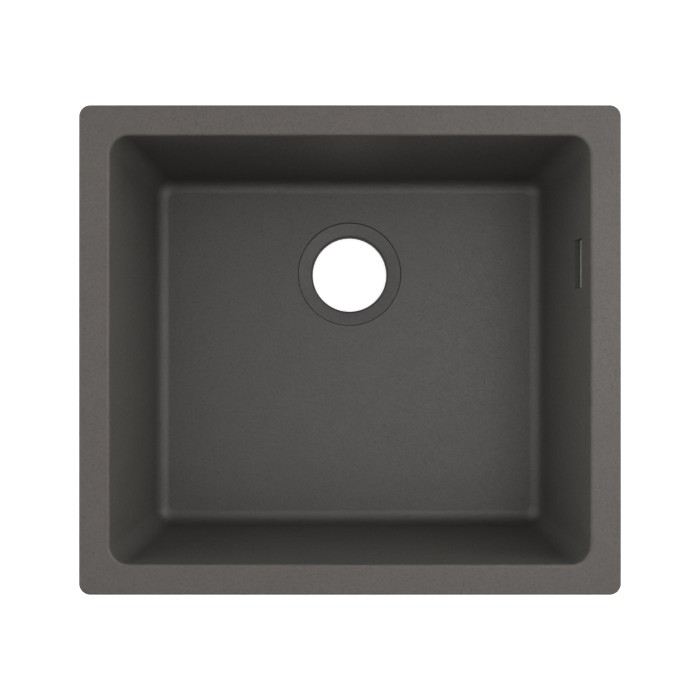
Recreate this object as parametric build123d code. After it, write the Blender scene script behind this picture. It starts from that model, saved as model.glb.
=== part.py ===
from build123d import *
import os
from math import radians, tan

# A single-bowl kitchen sink moulded in one piece from quartz and resin, with the clamps that
# hold it in a worktop and the outlet behind its overflow slot.
# Millimetres. The origin is the centre of the rim, in the plane of its top face.
# +X is to the user's right, +Y to the back and +Z up.

# Rim
RIM_WIDTH = 550.0
RIM_DEPTH = 497.0
RIM_BAND = 31.0
RIM_THICKNESS = 12.0
RIM_CORNER_R = 11.5
RIM_EDGE_R = 2.0
OPENING_EDGE_R = 3.0

# Bowl
BOWL_DEPTH = 190.0
BOWL_CORNER_R = 20.0
BOWL_DRAFT = 3.6
FLOOR_FILLET_R = 16.0
WALL = 9.0
FLOOR = 10.0
RIM_ROOT_R = 4.0

# Waste hole and its dished seat
DRAIN_FROM_BACK = 154.5
DRAIN_R = 45.0
DRAIN_LIP_R = 3.0
SEAT_R = 62.5
SEAT_STEP = 2.4
SEAT_EDGE = 1.0
SEAT_FALL = 2.1
DRAIN_BOSS_R = 75.0
DRAIN_BOSS_DROP = 8.0
DRAIN_BOSS_EDGE_R = 3.0

# Overflow slot in the right wall, beside the waste hole
SLOT_FROM_BACK = 156.8
SLOT_WIDTH = 52.0
SLOT_LIP = 29.5
SLOT_HEIGHT = 27.5
SLOT_FALL = 1.0

# Flat pad behind the slot
PAD_INSET = 21.5
PAD_SIDE = 15.5
PAD_BELOW = 6.0

# Overflow housing, its seal and its fasteners
SEAL_T = 1.5
SEAL_BAND = 4.0
SEAL_MARGIN = 1.0
FLANGE_T = 3.0
FLANGE_CORNER_R = 5.0
FLANGE_MARGIN = 1.0
HOUSING_WALL = 2.0
HOUSING_DEPTH = 12.0
COLLAR_LENGTH = 8.1
COLLAR_WALL = 1.6
FUNNEL_DROP = 20.0
SPIGOT_R = 10.0
SPIGOT_LENGTH = 24.0
SPIGOT_INSET = 14.0
OUTLET_SCREW_R = 2.0
OUTLET_SCREW_LENGTH = 9.0
OUTLET_SCREW_FROM_EDGE = 5.5
OUTLET_HEAD_R = 4.0
OUTLET_HEAD_H = 2.6
OUTLET_INSERT_R = 3.0
OUTLET_INSERT_LENGTH = 7.0

# Clamps under the rim, two on each side
CLAMP_FROM_END_X = 125.0
CLAMP_FROM_END_Y = 68.5
CLAMP_INSET = 16.0
BOSS_R = 7.0
BOSS_DROP = 22.0
INSERT_R = 4.5
INSERT_LENGTH = 14.0
INSERT_GROOVE = 0.6
INSERT_GROOVE_H = 3.0
SCREW_R = 3.0
SCREW_LENGTH = 60.0
SCREW_START = 8.0
SCREW_TRAVEL = 18.0
SCREW_TIP_ROOM = 2.0
SCREW_TIP_CHAMFER = 0.8
HEAD_ACROSS_FLATS = 10.0
HEAD_HEIGHT = 4.0
HEAD_EDGE_CHAMFER = 0.6
CROSS_LENGTH = 6.0
CROSS_WIDTH = 1.2
CROSS_DEPTH = 2.2
WASHER_R = 8.0
WASHER_T = 1.6
CLAW_T = 2.5
CLAW_WIDTH = 14.0
CLAW_TIP_WIDTH = 12.0
CLAW_REACH = 34.0
CLAW_RISE = 26.0
CLAW_HEEL = 8.5
CLAW_BEND_R = 2.5
CLAW_STOP_R = 1.0
CLAW_TEETH = 4
CLAW_TOOTH_H = 2.2

# Clearances, and how far a cut runs past the face that it opens
THREAD_CLEARANCE = 0.05
HOLE_CLEARANCE = 0.3
SWIVEL_CLEARANCE = 0.1
OVERRUN = 1.0

# Values that follow from the sizes above
RIM_UNDER = -RIM_THICKNESS
FLOOR_TOP = -BOWL_DEPTH
FLOOR_UNDER = FLOOR_TOP - FLOOR
DRAFT_SLOPE = tan(radians(BOWL_DRAFT))
DRAIN_Y = RIM_DEPTH / 2 - DRAIN_FROM_BACK
SLOT_Y = RIM_DEPTH / 2 - SLOT_FROM_BACK
PAD_FACE = RIM_WIDTH / 2 - PAD_INSET
SILL_DEPTH = SLOT_LIP + SLOT_HEIGHT
SILL_FACE = RIM_WIDTH / 2 - RIM_BAND - SILL_DEPTH * DRAFT_SLOPE
OUTLET_DEPTH = SILL_DEPTH + (PAD_FACE - SILL_FACE) * tan(radians(SLOT_FALL))
OUTLET_HEIGHT = OUTLET_DEPTH - SLOT_LIP
OUTLET_MIDDLE = -(SLOT_LIP + OUTLET_DEPTH) / 2
FLANGE_SIDE = SLOT_WIDTH / 2 + PAD_SIDE - FLANGE_MARGIN
OUTLET_SCREW_Y = FLANGE_SIDE - OUTLET_SCREW_FROM_EDGE
SEAL_SIDE = SLOT_WIDTH / 2 + SEAL_MARGIN + SEAL_BAND
SEAL_HEIGHT = OUTLET_HEIGHT + 2 * (SEAL_MARGIN + SEAL_BAND)
FLANGE_FACE = PAD_FACE + SEAL_T
BOSS_UNDER = RIM_UNDER - BOSS_DROP
SCREW_SEAT = BOSS_UNDER + SCREW_START - SCREW_LENGTH


def bowl_half(depth):
    """Half the width and half the depth of the bowl's inside at a depth below the rim's top."""
    shrink = depth * DRAFT_SLOPE
    return RIM_WIDTH / 2 - RIM_BAND - shrink, RIM_DEPTH / 2 - RIM_BAND - shrink


def bowl_section(depth, grow):
    """A level section of the bowl, grown outwards by a wall."""
    half_x, half_y = bowl_half(depth)
    outline = RectangleRounded(2 * (half_x + grow), 2 * (half_y + grow), BOWL_CORNER_R + grow)
    return Pos(0, 0, -depth) * outline


def tapered_bowl(top, bottom, grow):
    """The drafted form of the bowl between two depths, with its rounded bottom edge."""
    form = loft([bowl_section(top, grow), bowl_section(bottom, grow)], ruled=True)
    foot = form.faces().sort_by(Axis.Z)[0]
    return fillet(foot.edges(), FLOOR_FILLET_R + grow)


def rim_slab():
    """The flat rim, rounded over along its outer top edge."""
    slab = extrude(RectangleRounded(RIM_WIDTH, RIM_DEPTH, RIM_CORNER_R), -RIM_THICKNESS)
    return fillet(slab.faces().sort_by(Axis.Z)[-1].edges(), RIM_EDGE_R)


def drain_cutter():
    """What the waste hole and its dished seat take out of the floor."""
    seat_edge = FLOOR_TOP - SEAT_STEP
    seat_foot = seat_edge - SEAT_FALL
    bottom = FLOOR_UNDER - DRAIN_BOSS_DROP - OVERRUN
    profile = Polyline(
        (0, FLOOR_TOP + OVERRUN),
        (SEAT_R, FLOOR_TOP + OVERRUN),
        (SEAT_R, FLOOR_TOP),
        (SEAT_R - SEAT_EDGE, seat_edge),
        (DRAIN_R, seat_foot),
        (DRAIN_R, bottom),
        (0, bottom),
        close=True,
    )
    form = revolve(Plane.XZ * make_face(profile), Axis.Z)
    lip = form.edges().filter_by(GeomType.CIRCLE).sort_by_distance((DRAIN_R, 0, seat_foot))[0]
    return Pos(0, DRAIN_Y, 0) * fillet(lip, DRAIN_LIP_R)


def drain_boss():
    """The thickened ring under the floor that the waste is clamped to."""
    bottom = FLOOR_UNDER - DRAIN_BOSS_DROP
    ring = Pos(0, DRAIN_Y, bottom) * extrude(Circle(DRAIN_BOSS_R), DRAIN_BOSS_DROP + FLOOR / 2)
    return fillet(ring.faces().sort_by(Axis.Z)[0].edges(), DRAIN_BOSS_EDGE_R)


def wall_face(depth):
    """The inner face of the right wall at a depth below the rim's top."""
    return bowl_half(depth)[0]


def slot_form(start, end, inset):
    """The overflow slot's way through the wall, between two places along X and drawn in all round."""
    fall = tan(radians(SLOT_FALL))
    profile = Polyline(
        (start, -SLOT_LIP - inset),
        (end, -SLOT_LIP - inset),
        (end, inset - SILL_DEPTH - (end - SILL_FACE) * fall),
        (start, inset - SILL_DEPTH - (start - SILL_FACE) * fall),
        close=True,
    )
    form = extrude(Plane.XZ * make_face(profile), SLOT_WIDTH / 2 - inset, both=True)
    return Pos(0, SLOT_Y, 0) * form


def overflow_pad():
    """The flat pad on the outside of the right wall that the overflow housing seats on."""
    bottom = OUTLET_DEPTH + PAD_BELOW
    inner_top = wall_face(RIM_THICKNESS) + WALL / 2
    inner_bottom = wall_face(bottom) + WALL / 2
    slant = PAD_FACE - inner_bottom
    profile = Polyline(
        (inner_top, RIM_UNDER + OVERRUN),
        (PAD_FACE, RIM_UNDER + OVERRUN),
        (PAD_FACE, -bottom),
        (inner_bottom, -bottom - slant),
        close=True,
    )
    form = extrude(Plane.XZ * make_face(profile), SLOT_WIDTH / 2 + PAD_SIDE, both=True)
    return Pos(0, SLOT_Y, 0) * form


def outlet_points():
    """Where the overflow housing's two fasteners enter the pad's face."""
    return [(PAD_FACE, SLOT_Y + side * OUTLET_SCREW_Y, OUTLET_MIDDLE) for side in (-1, 1)]


def outward_rod(point, start, end, radius):
    """A round bar along +X from a point on the pad, between two distances from its face."""
    x, y, z = point
    return Pos(x + start, y, z) * Rot(0, 90, 0) * extrude(Circle(radius), end - start)


def clamp_places():
    """The eight screw axes, each with the turn that points its side of the rim outwards."""
    side_x = RIM_WIDTH / 2 - CLAMP_INSET
    side_y = RIM_DEPTH / 2 - CLAMP_INSET
    along_x = RIM_WIDTH / 2 - CLAMP_FROM_END_X
    along_y = RIM_DEPTH / 2 - CLAMP_FROM_END_Y
    return [
        (side_x, -along_y, 0),
        (side_x, along_y, 0),
        (along_x, side_y, 90),
        (-along_x, side_y, 90),
        (-side_x, along_y, 180),
        (-side_x, -along_y, 180),
        (-along_x, -side_y, 270),
        (along_x, -side_y, 270),
    ]


def clamp_boss():
    """A cast boss under the rim, run back into the bowl's wall. The screw axis is the origin."""
    back = RIM_BAND - CLAMP_INSET - WALL / 2
    pad = Pos(-back / 2, 0) * Rectangle(back, 2 * BOSS_R)
    return Pos(0, 0, BOSS_UNDER) * extrude(pad + Circle(BOSS_R), BOSS_DROP + OVERRUN)


def clamp_hole():
    """The blind hole in a clamp's boss: a seat for the insert, then room for the screw's tip."""
    tip_end = BOSS_UNDER + SCREW_START + SCREW_TRAVEL + SCREW_TIP_ROOM
    seat = Pos(0, 0, BOSS_UNDER) * extrude(Circle(INSERT_R), INSERT_LENGTH)
    room = Pos(0, 0, BOSS_UNDER) * extrude(Circle(SCREW_R + HOLE_CLEARANCE), tip_end - BOSS_UNDER)
    return seat + room


def sink_bowl():
    """The moulded sink: rim, drafted bowl, drain, overflow slot and the bosses underneath."""
    shell = rim_slab() + tapered_bowl(RIM_THICKNESS / 2, BOWL_DEPTH + FLOOR, WALL)
    root = shell.edges().filter_by_position(Axis.Z, RIM_UNDER, RIM_UNDER)
    inner_root = [edge for edge in root if is_under_bowl(edge)]
    shell = fillet(inner_root, RIM_ROOT_R)
    shell += drain_boss()
    shell += overflow_pad()
    for x, y, turn in clamp_places():
        shell += Pos(x, y, 0) * Rot(0, 0, turn) * clamp_boss()
    shell -= tapered_bowl(0, BOWL_DEPTH, 0)
    opening = [edge for edge in shell.edges().filter_by_position(Axis.Z, 0, 0) if is_under_bowl(edge)]
    shell = fillet(opening, OPENING_EDGE_R)
    shell -= drain_cutter()
    shell -= slot_form(SILL_FACE - OVERRUN, PAD_FACE + OVERRUN, 0)
    for x, y, turn in clamp_places():
        shell -= Pos(x, y, 0) * clamp_hole()
    for point in outlet_points():
        shell -= outward_rod(point, -OUTLET_INSERT_LENGTH, OVERRUN, OUTLET_INSERT_R)
    return shell


def is_under_bowl(edge):
    """True for an edge that runs along the bowl, and not along the rim's outside."""
    limit = RIM_BAND / 2 - WALL / 2
    middle = edge.center()
    inside_x = abs(middle.X) < RIM_WIDTH / 2 - limit
    inside_y = abs(middle.Y) < RIM_DEPTH / 2 - limit
    return inside_x and inside_y


def clamp_insert():
    """A brass thread insert with a retaining groove round its middle."""
    sleeve = extrude(Circle(INSERT_R) - Circle(SCREW_R + THREAD_CLEARANCE), INSERT_LENGTH)
    groove = extrude(Circle(INSERT_R) - Circle(INSERT_R - INSERT_GROOVE), INSERT_GROOVE_H)
    sleeve -= Pos(0, 0, (INSERT_LENGTH - INSERT_GROOVE_H) / 2) * groove
    return Pos(0, 0, BOSS_UNDER) * sleeve


def clamp_screw():
    """A hexagon-headed clamp screw, head down, with a cross recess. Its head seats at the origin."""
    head = extrude(RegularPolygon(HEAD_ACROSS_FLATS / 2, 6, major_radius=False), -HEAD_HEIGHT)
    head = chamfer(head.faces().sort_by(Axis.Z)[0].edges(), HEAD_EDGE_CHAMFER)
    cross = Rectangle(CROSS_LENGTH, CROSS_WIDTH) + Rectangle(CROSS_WIDTH, CROSS_LENGTH)
    head -= Pos(0, 0, -HEAD_HEIGHT) * extrude(cross, CROSS_DEPTH)
    shank = extrude(Circle(SCREW_R), SCREW_LENGTH)
    shank = chamfer(shank.faces().sort_by(Axis.Z)[-1].edges(), SCREW_TIP_CHAMFER)
    return head + shank


def clamp_washer():
    """The plain washer that lies on the screw's head."""
    return extrude(Circle(WASHER_R) - Circle(SCREW_R + HOLE_CLEARANCE), WASHER_T)


def claw_side():
    """The claw's side view: a flat arm with its outer end bent up."""
    arm = Polyline(
        (-CLAW_HEEL, 0),
        (CLAW_REACH, 0),
        (CLAW_REACH, CLAW_RISE),
        (CLAW_REACH - CLAW_T, CLAW_RISE),
        (CLAW_REACH - CLAW_T, CLAW_T),
        (-CLAW_HEEL, CLAW_T),
        close=True,
    )
    face = make_face(arm)
    face = fillet(face.vertices().sort_by_distance((CLAW_REACH, 0))[0], CLAW_BEND_R + CLAW_T)
    inner = face.vertices().sort_by_distance((CLAW_REACH - CLAW_T, CLAW_T))[0]
    return fillet(inner, CLAW_BEND_R)


def claw_plan():
    """The claw from above: one inner corner is round, and the other stops it square to the wall."""
    length = CLAW_HEEL + CLAW_REACH
    face = Pos(CLAW_REACH - length / 2, 0) * Rectangle(length, CLAW_WIDTH)
    stop = face.vertices().sort_by_distance((-CLAW_HEEL, CLAW_WIDTH / 2))[0]
    face = fillet(stop, CLAW_STOP_R)
    heel = face.vertices().sort_by_distance((-CLAW_HEEL, -CLAW_WIDTH / 2))[0]
    return fillet(heel, CLAW_WIDTH / 2)


def claw_front():
    """The claw from its outer end: it narrows upwards to a row of teeth."""
    shoulder = CLAW_T + CLAW_BEND_R
    pitch = CLAW_TIP_WIDTH / CLAW_TEETH
    teeth = []
    for i in range(CLAW_TEETH):
        left = -CLAW_TIP_WIDTH / 2 + i * pitch
        teeth += [(left, CLAW_RISE - CLAW_TOOTH_H), (left + pitch / 2, CLAW_RISE)]
    teeth += [(CLAW_TIP_WIDTH / 2, CLAW_RISE - CLAW_TOOTH_H)]
    outline = Polyline(
        (CLAW_WIDTH / 2, shoulder),
        (CLAW_WIDTH / 2, -OVERRUN),
        (-CLAW_WIDTH / 2, -OVERRUN),
        (-CLAW_WIDTH / 2, shoulder),
        *teeth,
        close=True,
    )
    return make_face(outline)


def clamp_claw():
    """A pressed-steel claw. The screw passes through it at the origin, and its arm lies along +X."""
    side = extrude(Plane.XZ * claw_side(), CLAW_WIDTH / 2, both=True)
    plan = extrude(claw_plan(), CLAW_RISE)
    front = Pos(-CLAW_HEEL, 0, 0) * extrude(Plane.YZ * claw_front(), CLAW_HEEL + CLAW_REACH)
    hole = extrude(Circle(SCREW_R + HOLE_CLEARANCE), CLAW_T)
    return (side & plan & front) - hole


def overflow_seal():
    """The flat rubber ring round the slot, squeezed between pad and housing."""
    outer = RectangleRounded(2 * SEAL_SIDE, SEAL_HEIGHT, SEAL_BAND)
    hole_width = SLOT_WIDTH + 2 * SEAL_MARGIN
    hole_height = OUTLET_HEIGHT + 2 * SEAL_MARGIN
    ring = outer - Rectangle(hole_width, hole_height)
    return on_pad(ring, 0, SEAL_T)


def on_pad(outline, start, thickness):
    """An outline drawn on the pad's face, round the outlet's middle, and raised outwards along +X."""
    plane = Plane((PAD_FACE + start, SLOT_Y, OUTLET_MIDDLE), x_dir=(0, 1, 0), z_dir=(1, 0, 0))
    return extrude(plane * outline, thickness)


def funnel(inset, neck):
    """The tapering throat from the chamber down to the spigot, drawn in by a wall, under a short neck."""
    top = OUTLET_MIDDLE - SEAL_HEIGHT / 2
    mouth = Rectangle(HOUSING_DEPTH - 2 * inset, 2 * (SEAL_SIDE - inset))
    place = Pos(FLANGE_FACE + HOUSING_DEPTH / 2, SLOT_Y, top)
    ring = Pos(RIM_WIDTH / 2 - SPIGOT_INSET, SLOT_Y, top - FUNNEL_DROP) * Circle(SPIGOT_R - inset)
    return loft([place * mouth, ring]) + place * extrude(mouth, neck)


def spigot(radius):
    """The round stub that the overflow hose pushes onto."""
    top = OUTLET_MIDDLE - SEAL_HEIGHT / 2 - FUNNEL_DROP
    return Pos(RIM_WIDTH / 2 - SPIGOT_INSET, SLOT_Y, top) * extrude(Circle(radius), -SPIGOT_LENGTH)


def overflow_housing():
    """The moulded chamber behind the slot: a collar in the slot, screw flange, throat and spigot."""
    front = FLANGE_FACE - COLLAR_LENGTH
    room_start = FLANGE_FACE + HOUSING_WALL
    flange = RectangleRounded(2 * FLANGE_SIDE, SEAL_HEIGHT, FLANGE_CORNER_R)
    body = on_pad(flange, SEAL_T, FLANGE_T)
    body += on_pad(Rectangle(2 * SEAL_SIDE, SEAL_HEIGHT), SEAL_T, HOUSING_DEPTH)
    body += slot_form(front, room_start, HOLE_CLEARANCE)
    body += funnel(0, HOUSING_WALL)
    body += spigot(SPIGOT_R)
    chamber = Rectangle(2 * (SEAL_SIDE - HOUSING_WALL), SEAL_HEIGHT - 2 * HOUSING_WALL)
    hollow = on_pad(chamber, SEAL_T + HOUSING_WALL, HOUSING_DEPTH - 2 * HOUSING_WALL)
    hollow += slot_form(front - OVERRUN, room_start + OVERRUN, HOLE_CLEARANCE + COLLAR_WALL)
    hollow += funnel(HOUSING_WALL, HOUSING_WALL + OVERRUN)
    hollow += spigot(SPIGOT_R - HOUSING_WALL)
    body -= hollow
    for point in outlet_points():
        body -= outward_rod(point, SEAL_T, SEAL_T + FLANGE_T, OUTLET_SCREW_R + HOLE_CLEARANCE)
    return body


def outlet_screw(point):
    """A pan-headed screw through the housing's flange into its insert."""
    face = SEAL_T + FLANGE_T
    shank = outward_rod(point, face - OUTLET_SCREW_LENGTH, face, OUTLET_SCREW_R)
    return shank + outward_rod(point, face, face + OUTLET_HEAD_H, OUTLET_HEAD_R)


def outlet_insert(point):
    """A brass thread insert in the pad behind the overflow."""
    sleeve = outward_rod(point, -OUTLET_INSERT_LENGTH, 0, OUTLET_INSERT_R)
    return sleeve - outward_rod(point, -OUTLET_INSERT_LENGTH, 0, OUTLET_SCREW_R + THREAD_CLEARANCE)


def write(node, shape):
    """One STEP file for each node, named after it."""
    export_step(shape, f"parts/{node}.step")


os.makedirs("parts", exist_ok=True)
write("sink_bowl", sink_bowl())
write("clamp_inserts", Compound(children=[Pos(x, y, 0) * clamp_insert() for x, y, turn in clamp_places()]))
for number, (x, y, turn) in enumerate(clamp_places(), start=1):
    seat = Pos(x, y, SCREW_SEAT) * Rot(0, 0, turn - 90)
    write(f"clamp_screw_{number}", seat * clamp_screw())
    write(f"clamp_washer_{number}", seat * clamp_washer())
    write(f"clamp_claw_{number}", seat * Pos(0, 0, WASHER_T + SWIVEL_CLEARANCE) * clamp_claw())
write("overflow_gasket", overflow_seal())
write("overflow_housing", overflow_housing())
write("overflow_screws", Compound(children=[outlet_screw(point) for point in outlet_points()]))
write("overflow_inserts", Compound(children=[outlet_insert(point) for point in outlet_points()]))
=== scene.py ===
from math import cos, pi, radians, sin, tau

import bmesh
import bpy
from mathutils import Matrix, Vector


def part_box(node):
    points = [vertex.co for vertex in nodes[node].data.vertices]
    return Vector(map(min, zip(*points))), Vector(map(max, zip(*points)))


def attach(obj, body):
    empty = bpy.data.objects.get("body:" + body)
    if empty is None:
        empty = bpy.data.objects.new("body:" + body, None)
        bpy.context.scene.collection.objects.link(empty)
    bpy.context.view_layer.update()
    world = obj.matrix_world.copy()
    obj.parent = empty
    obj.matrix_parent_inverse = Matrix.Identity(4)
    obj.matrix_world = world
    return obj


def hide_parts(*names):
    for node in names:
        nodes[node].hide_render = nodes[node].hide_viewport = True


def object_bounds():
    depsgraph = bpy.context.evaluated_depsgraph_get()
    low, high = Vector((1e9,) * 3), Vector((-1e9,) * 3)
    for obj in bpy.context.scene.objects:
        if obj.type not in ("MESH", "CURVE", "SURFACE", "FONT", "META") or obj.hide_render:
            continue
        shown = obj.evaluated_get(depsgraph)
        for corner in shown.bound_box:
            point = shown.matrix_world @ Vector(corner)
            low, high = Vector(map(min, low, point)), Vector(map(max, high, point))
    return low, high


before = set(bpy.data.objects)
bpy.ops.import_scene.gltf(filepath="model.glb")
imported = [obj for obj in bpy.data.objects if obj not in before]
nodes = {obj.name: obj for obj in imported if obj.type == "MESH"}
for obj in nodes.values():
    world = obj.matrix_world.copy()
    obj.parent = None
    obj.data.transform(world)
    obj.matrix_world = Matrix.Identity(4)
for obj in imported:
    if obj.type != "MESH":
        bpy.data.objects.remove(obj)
cad_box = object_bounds()
scene = bpy.context.scene


# The bowl and its rim are one casting: ground quartz bound in a dark grey resin and pressed in a
# matt mould. The drain seat, the overflow slot and the clamp bosses are moulded in with it. The
# rim's flat face is painted a little paler and warmer than the inside: painted light that stands in
# for the stronger light falling on the top face.
GRAIN_SIZE = 0.0016
GRAIN_RAMP = (
    (0.0, (0.0368, 0.0350, 0.0315)),
    (0.15, (0.0475, 0.0452, 0.0407)),
    (0.5, (0.0529, 0.0504, 0.0454)),
    (1.0, (0.0597, 0.0569, 0.0512)),
)
GRAIN_ROUGHNESS = ((0.0, (0.45, 0.45, 0.45)), (1.0, (0.56, 0.56, 0.56)))
CLOUD_SIZE = 0.03
CLOUD_DETAIL = 3.0
CLOUD_RAMP = ((0.3, (0.95, 0.95, 0.95)), (0.7, (1.05, 1.045, 1.04)))
RIM_FACE = (-0.0035, -0.0015)
# Painted light: the rim's flat top face is painted paler and warmer than the inside of the bowl.
RIM_PAINTED_LIGHT = ((0.0, (1.0, 1.0, 1.0)), (1.0, (1.135, 1.029, 1.012)))
SKIN_SIZE = 0.001
SKIN_DETAIL = 2.0
SKIN_BUMP = (0.1, 0.0001)
MERGE_WITHIN = 1e-6
MOULDED_ANGLE = 28


def add_node(tree, kind, **inputs):
    node = tree.nodes.new(kind)
    for name, value in inputs.items():
        node.inputs[name.replace("_", " ")].default_value = value
    return node


def new_finish(name):
    finish = bpy.data.materials.new(name)
    finish.use_nodes = True
    tree = finish.node_tree
    place = tree.nodes.new("ShaderNodeTexCoord").outputs["Object"]
    return finish, tree, tree.nodes["Principled BSDF"], place


def noise(tree, place, scale, detail, **more):
    mottle = add_node(tree, "ShaderNodeTexNoise", Scale=scale, Detail=detail, **more)
    tree.links.new(place, mottle.inputs["Vector"])
    return mottle.outputs["Fac"]


def ramp_of(tree, source, stops):
    ramp = tree.nodes.new("ShaderNodeValToRGB")
    marks = ramp.color_ramp.elements
    while len(marks) < len(stops):
        marks.new(0.5)
    for mark, (position, colour) in zip(marks, stops):
        mark.position = position
        mark.color = (*colour, 1)
    tree.links.new(source, ramp.inputs["Fac"])
    return ramp.outputs["Color"]


def multiplied(tree, colour, by):
    product = tree.nodes.new("ShaderNodeVectorMath")
    product.operation = "MULTIPLY"
    tree.links.new(colour, product.inputs[0])
    tree.links.new(by, product.inputs[1])
    return product.outputs["Vector"]


def roughen(tree, shader, height, strength, distance):
    bump = add_node(tree, "ShaderNodeBump", Strength=strength, Distance=distance)
    tree.links.new(height, bump.inputs["Height"])
    tree.links.new(bump.outputs["Normal"], shader.inputs["Normal"])


def quartz_and_resin():
    finish, tree, shader, place = new_finish("quartz_and_resin")
    grain = add_node(tree, "ShaderNodeTexVoronoi", Scale=1 / GRAIN_SIZE)
    tree.links.new(place, grain.inputs["Vector"])
    shades = tree.nodes.new("ShaderNodeSeparateColor")
    tree.links.new(grain.outputs["Color"], shades.inputs["Color"])
    spot = tree.nodes.new("ShaderNodeSeparateXYZ")
    tree.links.new(place, spot.inputs["Vector"])
    # Painted light: everything on the rim's top face is made paler and warmer in colour.
    painted_light_mask = add_node(tree, "ShaderNodeMapRange", From_Min=RIM_FACE[0], From_Max=RIM_FACE[1])
    tree.links.new(spot.outputs["Z"], painted_light_mask.inputs["Value"])
    grained = ramp_of(tree, shades.outputs["Red"], GRAIN_RAMP)
    clouds = ramp_of(tree, noise(tree, place, 1 / CLOUD_SIZE, CLOUD_DETAIL), CLOUD_RAMP)
    painted_rim_light = ramp_of(tree, painted_light_mask.outputs["Result"], RIM_PAINTED_LIGHT)
    colour = multiplied(tree, multiplied(tree, grained, clouds), painted_rim_light)
    tree.links.new(colour, shader.inputs["Base Color"])
    tree.links.new(ramp_of(tree, shades.outputs["Green"], GRAIN_ROUGHNESS), shader.inputs["Roughness"])
    roughen(tree, shader, noise(tree, place, 1 / SKIN_SIZE, SKIN_DETAIL), *SKIN_BUMP)
    return finish


def settle(piece):
    depsgraph = bpy.context.evaluated_depsgraph_get()
    shape = bpy.data.meshes.new_from_object(piece.evaluated_get(depsgraph))
    piece.modifiers.clear()
    piece.data = shape


def show(name, mesh, finish):
    mesh.materials.clear()
    mesh.materials.append(finish)
    piece = bpy.data.objects.new(name, mesh)
    scene.collection.objects.link(piece)
    return piece


def smooth_from(mesh, angle):
    mesh.polygons.foreach_set("use_smooth", [True] * len(mesh.polygons))
    mesh.set_sharp_from_angle(angle=radians(angle))


def as_moulded(name, node, finish):
    mesh = nodes[node].data.copy()
    mesh.attributes.remove(mesh.attributes["custom_normal"])
    form = bmesh.new()
    form.from_mesh(mesh)
    bmesh.ops.remove_doubles(form, verts=form.verts, dist=MERGE_WITHIN)
    form.to_mesh(mesh)
    form.free()
    smooth_from(mesh, MOULDED_ANGLE)
    piece = show(name, mesh, finish)
    even = piece.modifiers.new("even_shading", "WEIGHTED_NORMAL")
    even.keep_sharp = True
    settle(piece)
    return piece


def fit(piece, body, slot, *stands_for):
    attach(piece, body)
    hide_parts(*stands_for)


bowl = as_moulded("bowl_and_rim", "sink_bowl", quartz_and_resin())
fit(bowl, "sink", "granite_composite", "sink_bowl")


# Eight brass thread inserts sit in the bosses under the rim. They are turned from bar, so fine
# tool lines run round them.
BRASS_RAMP = ((0.35, (0.60, 0.43, 0.19)), (0.65, (0.72, 0.54, 0.27)))
BRASS_ROUGHNESS = ((0.3, (0.24, 0.24, 0.24)), (0.7, (0.38, 0.38, 0.38)))
BRASS_DETAIL = 4.0
BRASS_BUMP = (0.25, 0.00005)
UPRIGHT_TOOL_LINES = (60, 60, 4000)


def turned_brass(name, tool_lines):
    finish, tree, shader, place = new_finish(name)
    stretch = add_node(tree, "ShaderNodeMapping", Scale=tool_lines)
    tree.links.new(place, stretch.inputs["Vector"])
    lines = noise(tree, stretch.outputs["Vector"], 1.0, BRASS_DETAIL)
    tree.links.new(ramp_of(tree, lines, BRASS_RAMP), shader.inputs["Base Color"])
    tree.links.new(ramp_of(tree, lines, BRASS_ROUGHNESS), shader.inputs["Roughness"])
    shader.inputs["Metallic"].default_value = 1.0
    roughen(tree, shader, lines, *BRASS_BUMP)
    return finish


upright_brass = turned_brass("brass_turned_upright", UPRIGHT_TOOL_LINES)
inserts = as_moulded("clamp_thread_inserts", "clamp_inserts", upright_brass)
fit(inserts, "sink", "brass", "clamp_inserts")


# Each clamp hangs on a long hexagon-headed screw of zinc-plated steel, driven up into its insert.
# The thread is rolled, and the head is chamfered and has a cross recess for a driver.
CLAMPS = range(1, 9)
ZINC_RAMP = ((0.3, (0.53, 0.545, 0.56)), (0.55, (0.61, 0.62, 0.63)), (0.75, (0.66, 0.655, 0.63)))
ZINC_ROUGHNESS = ((0.25, (0.34, 0.34, 0.34)), (0.75, (0.50, 0.50, 0.50)))
BLOOM_PER_METRE = 220.0
BLOOM_DETAIL = 5.0
BLOOM_ROUGHNESS = 0.6
CRYSTALS_PER_METRE = 1500.0
CRYSTAL_DETAIL = 2.0
ZINC_BUMP = (0.15, 0.00004)
SHANK_R = 0.003
SHANK_LENGTH = 0.060
SHANK_POINT = 0.0008
THREAD_PITCH = 0.001
THREAD_DEPTH = 0.00055
THREAD_SIDES = 24
ROWS_PER_PITCH = 8
FLANK_RISE = 1.25
END_ROW = 1e-5
HEAD_FLATS = 0.010
HEAD_HEIGHT = 0.004
HEAD_UPPER_CHAMFER = (0.00036, 0.00021)
HEAD_LOWER_CHAMFER = 0.00066
HEAD_LOWER_R = 0.00475
HEAD_RECESS = (0.006, 0.0012, 0.0022)
ENVELOPE_PAST = 0.0002
ENVELOPE_ABOVE = 0.0001
RECESS_TAPER = ((0.56, 0.56), (0.5, 0.5), (0.22, 0.32))
CUTTER_ABOVE = 0.0005
BURR = 2e-6
TURNED_SIDES = 48
TURNED_ANGLE = 32


def zinc_plate():
    finish, tree, shader, place = new_finish("zinc_plate")
    bloom = noise(tree, place, BLOOM_PER_METRE, BLOOM_DETAIL, Roughness=BLOOM_ROUGHNESS)
    tree.links.new(ramp_of(tree, bloom, ZINC_RAMP), shader.inputs["Base Color"])
    crystals = noise(tree, place, CRYSTALS_PER_METRE, CRYSTAL_DETAIL)
    tree.links.new(ramp_of(tree, crystals, ZINC_ROUGHNESS), shader.inputs["Roughness"])
    shader.inputs["Metallic"].default_value = 1.0
    roughen(tree, shader, crystals, *ZINC_BUMP)
    return finish


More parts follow.
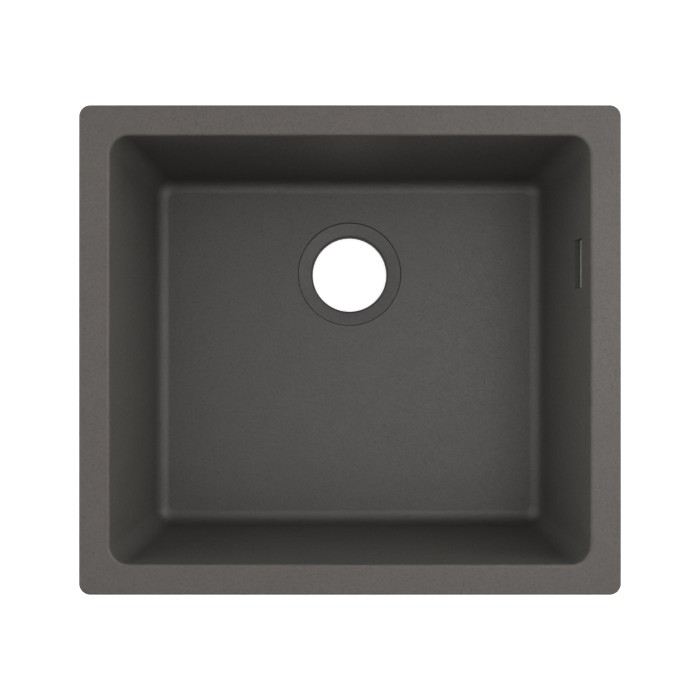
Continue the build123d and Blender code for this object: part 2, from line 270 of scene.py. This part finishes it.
def rolled_thread_tree():
    tree = bpy.data.node_groups.new("rolled_thread", "GeometryNodeTree")
    for name in ("Crest Radius", "Thread Depth", "Pitch", "Length", "Point"):
        tree.interface.new_socket(name=name, in_out="INPUT", socket_type="NodeSocketFloat")
    for name in ("Sides", "Rows"):
        tree.interface.new_socket(name=name, in_out="INPUT", socket_type="NodeSocketInt")
    tree.interface.new_socket(name="Finish", in_out="INPUT", socket_type="NodeSocketMaterial")
    tree.interface.new_socket(name="Thread", in_out="OUTPUT", socket_type="NodeSocketGeometry")
    given = tree.nodes.new("NodeGroupInput").outputs

    def calc(operation, *values):
        node = tree.nodes.new("ShaderNodeMath")
        node.operation = operation
        for socket, value in zip(node.inputs, values):
            if isinstance(value, (int, float)):
                socket.default_value = value
            else:
                tree.links.new(value, socket)
        return node.outputs["Value"]

    strip = add_node(tree, "GeometryNodeMeshGrid", Size_X=1.0, Size_Y=1.0)
    tree.links.new(calc("ADD", given["Sides"], 1), strip.inputs["Vertices X"])
    tree.links.new(given["Rows"], strip.inputs["Vertices Y"])
    spot = tree.nodes.new("ShaderNodeSeparateXYZ")
    tree.links.new(tree.nodes.new("GeometryNodeInputPosition").outputs["Position"], spot.inputs["Vector"])
    round_way = calc("ADD", spot.outputs["X"], 0.5)
    up_way = calc("ADD", spot.outputs["Y"], 0.5)
    height = calc("MULTIPLY", up_way, given["Length"])
    phase = calc("FRACT", calc("SUBTRACT", calc("DIVIDE", height, given["Pitch"]), round_way))
    flank = calc("ABSOLUTE", calc("SUBTRACT", calc("MULTIPLY", phase, 2.0), 1.0))
    below_crest = calc("SUBTRACT", 1.0, calc("MINIMUM", calc("MULTIPLY", flank, FLANK_RISE), 1.0))
    thread_r = calc("SUBTRACT", given["Crest Radius"], calc("MULTIPLY", below_crest, given["Thread Depth"]))
    past_point = calc("SUBTRACT", height, calc("SUBTRACT", given["Length"], given["Point"]))
    point_r = calc("SUBTRACT", given["Crest Radius"], calc("MAXIMUM", past_point, 0.0))
    past_start = calc("GREATER_THAN", up_way, END_ROW)
    before_end = calc("LESS_THAN", up_way, 1 - END_ROW)
    inside_ends = calc("MULTIPLY", past_start, before_end)
    radius = calc("MULTIPLY", calc("MINIMUM", thread_r, point_r), inside_ends)
    turn = calc("MULTIPLY", round_way, tau)
    wound = tree.nodes.new("ShaderNodeCombineXYZ")
    tree.links.new(calc("MULTIPLY", radius, calc("COSINE", turn)), wound.inputs["X"])
    tree.links.new(calc("MULTIPLY", radius, calc("SINE", turn)), wound.inputs["Y"])
    tree.links.new(height, wound.inputs["Z"])
    rolled = tree.nodes.new("GeometryNodeSetPosition")
    tree.links.new(strip.outputs["Mesh"], rolled.inputs["Geometry"])
    tree.links.new(wound.outputs["Vector"], rolled.inputs["Position"])
    joined = add_node(tree, "GeometryNodeMergeByDistance", Distance=MERGE_WITHIN)
    tree.links.new(rolled.outputs["Geometry"], joined.inputs["Geometry"])
    solid = tree.nodes.new("GeometryNodeRealizeInstances")
    tree.links.new(joined.outputs["Geometry"], solid.inputs["Geometry"])
    plated = tree.nodes.new("GeometryNodeSetMaterial")
    tree.links.new(solid.outputs["Geometry"], plated.inputs["Geometry"])
    tree.links.new(given["Finish"], plated.inputs["Material"])
    out = tree.nodes.new("NodeGroupOutput")
    tree.links.new(plated.outputs["Geometry"], out.inputs["Thread"])
    return tree


rolled_thread = rolled_thread_tree()
zinc = zinc_plate()


def threaded_shank(crest_r, depth, pitch, length, point):
    piece = show("shank_blank", bpy.data.meshes.new("shank_blank"), zinc)
    roll = piece.modifiers.new("rolled_thread", "NODES")
    roll.node_group = rolled_thread
    sizes = {
        "Crest Radius": crest_r, "Thread Depth": depth, "Pitch": pitch, "Length": length, "Point": point,
        "Sides": THREAD_SIDES, "Rows": int(length / pitch * ROWS_PER_PITCH) + 1, "Finish": zinc,
    }
    for item in rolled_thread.interface.items_tree:
        if item.in_out == "INPUT":
            roll[item.identifier] = sizes[item.name]
    settle(piece)
    mesh = piece.data
    bpy.data.objects.remove(piece)
    return mesh


def lathe(profile, sides):
    form = bmesh.new()
    turns = [tau * i / sides for i in range(sides)]
    rings = []
    for r, z in profile:
        if r == 0:
            rings.append([form.verts.new((0, 0, z))] * sides)
        else:
            rings.append([form.verts.new((r * cos(turn), r * sin(turn), z)) for turn in turns])
    for low, high in zip(rings, rings[1:]):
        for i in range(sides):
            j = (i + 1) % sides
            corners = list(dict.fromkeys((low[i], low[j], high[j], high[i])))
            form.faces.new(corners)
    bmesh.ops.remove_doubles(form, verts=form.verts, dist=MERGE_WITHIN)
    bmesh.ops.recalc_face_normals(form, faces=form.faces)
    mesh = bpy.data.meshes.new("turned")
    form.to_mesh(mesh)
    form.free()
    return mesh


def carve(mesh, tool, operation):
    blank = show("blank", mesh, zinc)
    cutter = show("cutter", tool, zinc)
    step = blank.modifiers.new("carve", "BOOLEAN")
    step.operation = operation
    step.object = cutter
    step.solver = "EXACT"
    settle(blank)
    carved = blank.data
    bpy.data.objects.remove(blank)
    bpy.data.objects.remove(cutter)
    form = bmesh.new()
    form.from_mesh(carved)
    bmesh.ops.remove_doubles(form, verts=form.verts, dist=BURR)
    bmesh.ops.dissolve_degenerate(form, edges=form.edges, dist=BURR)
    form.to_mesh(carved)
    form.free()
    return carved


def recess_arm(length, width, depth, face, turn):
    form = bmesh.new()
    rows = []
    for deep, (long_share, wide_share) in zip((-CUTTER_ABOVE, 0.0, depth), RECESS_TAPER):
        x, y = length * long_share, width * wide_share
        corners = ((x, y), (-x, y), (-x, -y), (x, -y))
        rows.append([form.verts.new(turn @ Vector((*corner, face + deep))) for corner in corners])
    form.faces.new(rows[0])
    form.faces.new(rows[-1])
    for low, high in zip(rows, rows[1:]):
        for i in range(4):
            j = (i + 1) % 4
            form.faces.new((low[i], low[j], high[j], high[i]))
    bmesh.ops.recalc_face_normals(form, faces=form.faces)
    mesh = bpy.data.meshes.new("recess_arm")
    form.to_mesh(mesh)
    form.free()
    return mesh


def cross_recess(head, length, width, depth, face):
    for turn in (Matrix.Identity(4), Matrix.Rotation(pi / 2, 4, "Z")):
        head = carve(head, recess_arm(length, width, depth, face, turn), "DIFFERENCE")
    return head


def hexagon_head():
    reach = HEAD_FLATS / 2 / cos(pi / 6)
    blank = lathe(((0, 0), (reach, 0), (reach, -HEAD_HEIGHT), (0, -HEAD_HEIGHT)), 6)
    blank.transform(Matrix.Rotation(pi / 6, 4, "Z"))
    skirt = reach + ENVELOPE_PAST
    chamfer_in, chamfer_down = HEAD_UPPER_CHAMFER
    envelope = lathe((
        (0, ENVELOPE_ABOVE), (skirt - chamfer_in, ENVELOPE_ABOVE), (skirt, -chamfer_down),
        (skirt, HEAD_LOWER_CHAMFER - HEAD_HEIGHT), (HEAD_LOWER_R, -HEAD_HEIGHT), (0, -HEAD_HEIGHT),
    ), TURNED_SIDES)
    head = carve(blank, envelope, "INTERSECT")
    return cross_recess(head, *HEAD_RECESS, -HEAD_HEIGHT)


def join_meshes(*meshes):
    form = bmesh.new()
    for mesh in meshes:
        form.from_mesh(mesh)
    bmesh.ops.recalc_face_normals(form, faces=form.faces)
    joined = bpy.data.meshes.new("joined")
    form.to_mesh(joined)
    form.free()
    return joined


clamp_shank = threaded_shank(SHANK_R, THREAD_DEPTH, THREAD_PITCH, SHANK_LENGTH, SHANK_POINT)
clamp_screw = join_meshes(hexagon_head(), clamp_shank)
smooth_from(clamp_screw, TURNED_ANGLE)
for number in CLAMPS:
    low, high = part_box(f"clamp_screw_{number}")
    middle = (Vector(low) + Vector(high)) / 2
    across = 0 if high[0] - low[0] < high[1] - low[1] else pi / 2
    seat = Matrix.Translation((middle.x, middle.y, low[2] + HEAD_HEIGHT))
    mesh = clamp_screw.copy()
    mesh.transform(seat @ Matrix.Rotation(across, 4, "Z"))
    screw = show(f"hexagon_screw_{number}", mesh, zinc)
    fit(screw, f"screw_{number}", "zinc_steel", f"clamp_screw_{number}")


# A plain washer lies on each screw's head. It is punched from sheet, so its upper edges are rolled
# over and its lower edges are sharp.
WASHER_BORE_R = 0.0033
WASHER_ROLL = 0.0004
ROLL_STEPS = 4


def punched_washer(inner_r, outer_r, thickness):
    turns = [step * pi / 2 / ROLL_STEPS for step in range(ROLL_STEPS + 1)]
    edge = [(WASHER_ROLL * (1 - cos(turn)), thickness - WASHER_ROLL * (1 - sin(turn))) for turn in turns]
    outside = [(outer_r - rolled, z) for rolled, z in edge]
    inside = [(inner_r + rolled, z) for rolled, z in reversed(edge)]
    return lathe([(inner_r, 0), (outer_r, 0), *outside, *inside, (inner_r, 0)], TURNED_SIDES)


for number in CLAMPS:
    low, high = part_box(f"clamp_washer_{number}")
    middle = (Vector(low) + Vector(high)) / 2
    mesh = punched_washer(WASHER_BORE_R, (high[0] - low[0]) / 2, high[2] - low[2])
    smooth_from(mesh, TURNED_ANGLE)
    mesh.transform(Matrix.Translation((middle.x, middle.y, low[2])))
    washer = show(f"plain_washer_{number}", mesh, zinc)
    fit(washer, f"screw_{number}", "zinc_steel", f"clamp_washer_{number}")


# The claws are pressed from steel strip: a flat arm on the screw and an upturned end whose teeth bite
# into the underside of the worktop.
for number in CLAMPS:
    claw = as_moulded(f"pressed_claw_{number}", f"clamp_claw_{number}", zinc)
    fit(claw, f"claw_{number}", "zinc_steel", f"clamp_claw_{number}")


# A flat rubber ring seals the overflow housing against the pad behind the slot.
# It is cut from sheet, matt black and faintly grained.
RUBBER_RAMP = ((0.3, (0.016, 0.016, 0.016)), (0.7, (0.027, 0.026, 0.025)))
RUBBER_GRAINS_PER_METRE = 1800.0
RUBBER_DETAIL = 3.0
RUBBER_ROUGHNESS = 0.8
RUBBER_GLOSS = 0.3
RUBBER_BUMP = (0.3, 0.00008)


def sheet_rubber():
    finish, tree, shader, place = new_finish("sheet_rubber")
    grain = noise(tree, place, RUBBER_GRAINS_PER_METRE, RUBBER_DETAIL)
    tree.links.new(ramp_of(tree, grain, RUBBER_RAMP), shader.inputs["Base Color"])
    shader.inputs["Roughness"].default_value = RUBBER_ROUGHNESS
    shader.inputs["Specular IOR Level"].default_value = RUBBER_GLOSS
    roughen(tree, shader, grain, *RUBBER_BUMP)
    return finish


gasket = as_moulded("seal_ring", "overflow_gasket", sheet_rubber())
fit(gasket, "sink", "rubber", "overflow_gasket")


# The overflow housing is moulded in mid-grey plastic. Its collar shows at the back of the slot, and
# its spigot below takes the hose from the waste.
PLASTIC_RAMP = ((0.3, (0.285, 0.285, 0.277)), (0.7, (0.315, 0.315, 0.307)))
PLASTIC_ROUGHNESS = ((0.3, (0.42, 0.42, 0.42)), (0.7, (0.56, 0.56, 0.56)))
FLOW_PER_METRE = 60.0
FLOW_DETAIL = 3.0
SPARKS_PER_METRE = 2600.0
SPARK_DETAIL = 2.0
PLASTIC_BUMP = (0.2, 0.00006)


def moulded_plastic():
    finish, tree, shader, place = new_finish("moulded_plastic")
    flow = noise(tree, place, FLOW_PER_METRE, FLOW_DETAIL)
    tree.links.new(ramp_of(tree, flow, PLASTIC_RAMP), shader.inputs["Base Color"])
    sparks = noise(tree, place, SPARKS_PER_METRE, SPARK_DETAIL)
    tree.links.new(ramp_of(tree, sparks, PLASTIC_ROUGHNESS), shader.inputs["Roughness"])
    roughen(tree, shader, sparks, *PLASTIC_BUMP)
    return finish


housing = as_moulded("overflow_chamber", "overflow_housing", moulded_plastic())
fit(housing, "sink", "grey_plastic", "overflow_housing")


# Two pan-headed screws hold the housing's flange to the pad, in brass inserts of their own.
# They are the same plated steel as the clamps' screws.
PAN_R = 0.004
PAN_HEIGHT = 0.0026
PAN_EDGE = 0.0011
PAN_RECESS = (0.0042, 0.001, 0.0016)
DOME_STEPS = 8
OUTLET_SHANK_R = 0.002
OUTLET_SHANK_LENGTH = 0.009
OUTLET_SHANK_POINT = 0.0006
OUTLET_PITCH = 0.0007
OUTLET_THREAD_DEPTH = 0.0004
LEVEL_TOOL_LINES = (4000, 60, 60)


def pan_head():
    dome = PAN_HEIGHT - PAN_EDGE
    turns = [step * pi / 2 / DOME_STEPS for step in range(DOME_STEPS)]
    crown = [(PAN_R * cos(turn), -PAN_EDGE - dome * sin(turn)) for turn in turns]
    head = lathe([(0, 0), (PAN_R, 0), *crown, (0, -PAN_HEIGHT)], TURNED_SIDES)
    return cross_recess(head, *PAN_RECESS, -PAN_HEIGHT)


outlet_shank = threaded_shank(
    OUTLET_SHANK_R, OUTLET_THREAD_DEPTH, OUTLET_PITCH, OUTLET_SHANK_LENGTH, OUTLET_SHANK_POINT
)
pan_screw = join_meshes(pan_head(), outlet_shank)
head_outward = Matrix.Rotation(-pi / 2, 4, "Y")
low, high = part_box("overflow_screws")
pair = []
for y in (low[1] + PAN_R, high[1] - PAN_R):
    seat = Matrix.Translation((high[0] - PAN_HEIGHT, y, (low[2] + high[2]) / 2))
    mesh = pan_screw.copy()
    mesh.transform(seat @ head_outward)
    pair.append(mesh)
pair_of_screws = join_meshes(*pair)
smooth_from(pair_of_screws, TURNED_ANGLE)
outlet_screws = show("pan_screws", pair_of_screws, zinc)
fit(outlet_screws, "sink", "zinc_steel", "overflow_screws")

level_brass = turned_brass("brass_turned_level", LEVEL_TOOL_LINES)
outlet_inserts = as_moulded("outlet_thread_inserts", "overflow_inserts", level_brass)
fit(outlet_inserts, "sink", "brass", "overflow_inserts")


# The sink stands on a plain white floor. To the camera the floor glows, so that it shows white all the
# way out, and it glows less close by, where it keeps the sink's soft shadow.
FLOOR_SIZE = 60.0
FLOOR_GAP = 0.0005
FLOOR_LIT = 0.8
FLOOR_MIRRORED = 1.0
FLOOR_SHADE = 0.55
GLOW_NEAR = 0.8
GLOW_FAR = 1.0
NEAR = 1.5
FAR = 4.0


def rays(tree, *kinds):
    path = tree.nodes.new("ShaderNodeLightPath")
    total = path.outputs[kinds[0]]
    for kind in kinds[1:]:
        either = tree.nodes.new("ShaderNodeMath")
        either.operation = "MAXIMUM"
        tree.links.new(total, either.inputs[0])
        tree.links.new(path.outputs[kind], either.inputs[1])
        total = either.outputs["Value"]
    return total


def choose(tree, chance, otherwise, chosen):
    mix = tree.nodes.new("ShaderNodeMixShader")
    tree.links.new(chance, mix.inputs["Fac"])
    tree.links.new(otherwise, mix.inputs[1])
    tree.links.new(chosen, mix.inputs[2])
    return mix.outputs["Shader"]


def matt(tree, level):
    return add_node(tree, "ShaderNodeBsdfDiffuse", Color=(level, level, level, 1)).outputs["BSDF"]


def white_floor():
    finish = bpy.data.materials.new("white_floor")
    finish.use_nodes = True
    tree = finish.node_tree
    tree.nodes.clear()
    away = tree.nodes.new("ShaderNodeVectorMath")
    away.operation = "LENGTH"
    tree.links.new(tree.nodes.new("ShaderNodeTexCoord").outputs["Object"], away.inputs[0])
    fade = add_node(
        tree, "ShaderNodeMapRange", From_Min=NEAR, From_Max=FAR, To_Min=GLOW_NEAR, To_Max=GLOW_FAR
    )
    tree.links.new(away.outputs["Value"], fade.inputs["Value"])
    glow = tree.nodes.new("ShaderNodeEmission")
    tree.links.new(fade.outputs["Result"], glow.inputs["Strength"])
    seen = tree.nodes.new("ShaderNodeAddShader")
    tree.links.new(glow.outputs["Emission"], seen.inputs[0])
    tree.links.new(matt(tree, FLOOR_SHADE), seen.inputs[1])
    unseen = choose(tree, rays(tree, "Is Glossy Ray"), matt(tree, FLOOR_LIT), matt(tree, FLOOR_MIRRORED))
    to_camera = rays(tree, "Is Camera Ray", "Is Transmission Ray")
    output = tree.nodes.new("ShaderNodeOutputMaterial")
    tree.links.new(choose(tree, to_camera, unseen, seen.outputs["Shader"]), output.inputs["Surface"])
    return finish


bpy.ops.mesh.primitive_plane_add(size=FLOOR_SIZE, location=(0, 0, cad_box[0][2] - FLOOR_GAP))
floor = bpy.context.object
floor.name = "floor"
floor.data.materials.append(white_floor())


# Soft boxes stand round the sink from low beside it to straight above it, stronger on the right. The
# low ones don't show in shiny metal, which mirrors the white room that stands beyond the floor.
LOW_BOXES = (
    ("grazing_right", (2.2, 0, 0.35), (3.6, 0.8), 27.5),
    ("grazing_left", (-2.2, 0, 0.35), (3.6, 0.8), 29.0),
    ("grazing_back", (0, 2.2, 0.35), (3.6, 0.8), 6.0),
    ("grazing_front", (0, -2.2, 0.35), (3.6, 0.8), 1.5),
    ("wide_right", (2.4, 0, 0.7), (2.4, 2.4), 21.5),
    ("wide_left", (-2.4, 0, 0.7), (2.4, 2.4), 41.0),
    ("near_right", (1.3, 0.12, 0.35), (0.9, 0.5), 3.4),
)
HIGH_BOXES = (
    ("far_right", (2.6, 0.5, 1.2), (1.4, 1.0), 11.0),
    ("corner_right", (1.4, 1.4, 0.9), (1.2, 1.2), 10.6),
    ("corner_left", (-1.4, 1.4, 0.9), (1.2, 1.2), 7.0),
    ("middle_left", (-1.5, 0, 1.4), (1.2, 1.2), 3.8),
    ("above_right", (0.6, 0.15, 0.9), (0.4, 0.4), 0.95),
    ("high_right", (0.7, 0, 1.9), (1.0, 1.0), 5.8),
    ("high_front", (0, -0.7, 1.9), (1.0, 1.0), 0.4),
    ("overhead", (0.1, -0.05, 1.5), (0.5, 0.5), 1.8),
    ("canopy", (0, 0, 2.2), (2.5, 2.5), 8.7),
)
BOWL_MIDDLE = Vector((0, 0, -0.05))
WHITE = (1, 1, 1, 1)


def soft_box(name, at, size, power):
    lamp = bpy.data.lights.new(name, "AREA")
    lamp.shape = "RECTANGLE"
    lamp.size, lamp.size_y = size
    lamp.energy = power
    holder = bpy.data.objects.new(name, lamp)
    holder.location = at
    holder.rotation_euler = (BOWL_MIDDLE - Vector(at)).to_track_quat("-Z", "Y").to_euler()
    scene.collection.objects.link(holder)
    return holder


for box in LOW_BOXES:
    soft_box(*box).visible_glossy = False
for box in HIGH_BOXES:
    soft_box(*box)

room = bpy.data.worlds.new("white_room")
room.use_nodes = True
scene.world = room
light_of_room = room.node_tree.nodes["Background"]
light_of_room.inputs["Color"].default_value = WHITE
seen_from = rays(room.node_tree, "Is Camera Ray", "Is Glossy Ray", "Is Transmission Ray")
room.node_tree.links.new(seen_from, light_of_room.inputs["Strength"])


# The camera looks straight down from just in front of the bowl's middle, with the back of the sink at
# the top of the picture.
CAMERA_AT = (-0.003, -0.012, 0.985)
LENS = 50.0
SENSOR = 36.0
SHIFT = (0.0042, 0.0169)

camera = bpy.data.objects.new("camera", bpy.data.cameras.new("camera"))
camera.location = CAMERA_AT
camera.data.lens = LENS
camera.data.sensor_width = SENSOR
camera.data.shift_x, camera.data.shift_y = SHIFT
scene.collection.objects.link(camera)
scene.camera = camera
scene.view_settings.view_transform = "Standard"
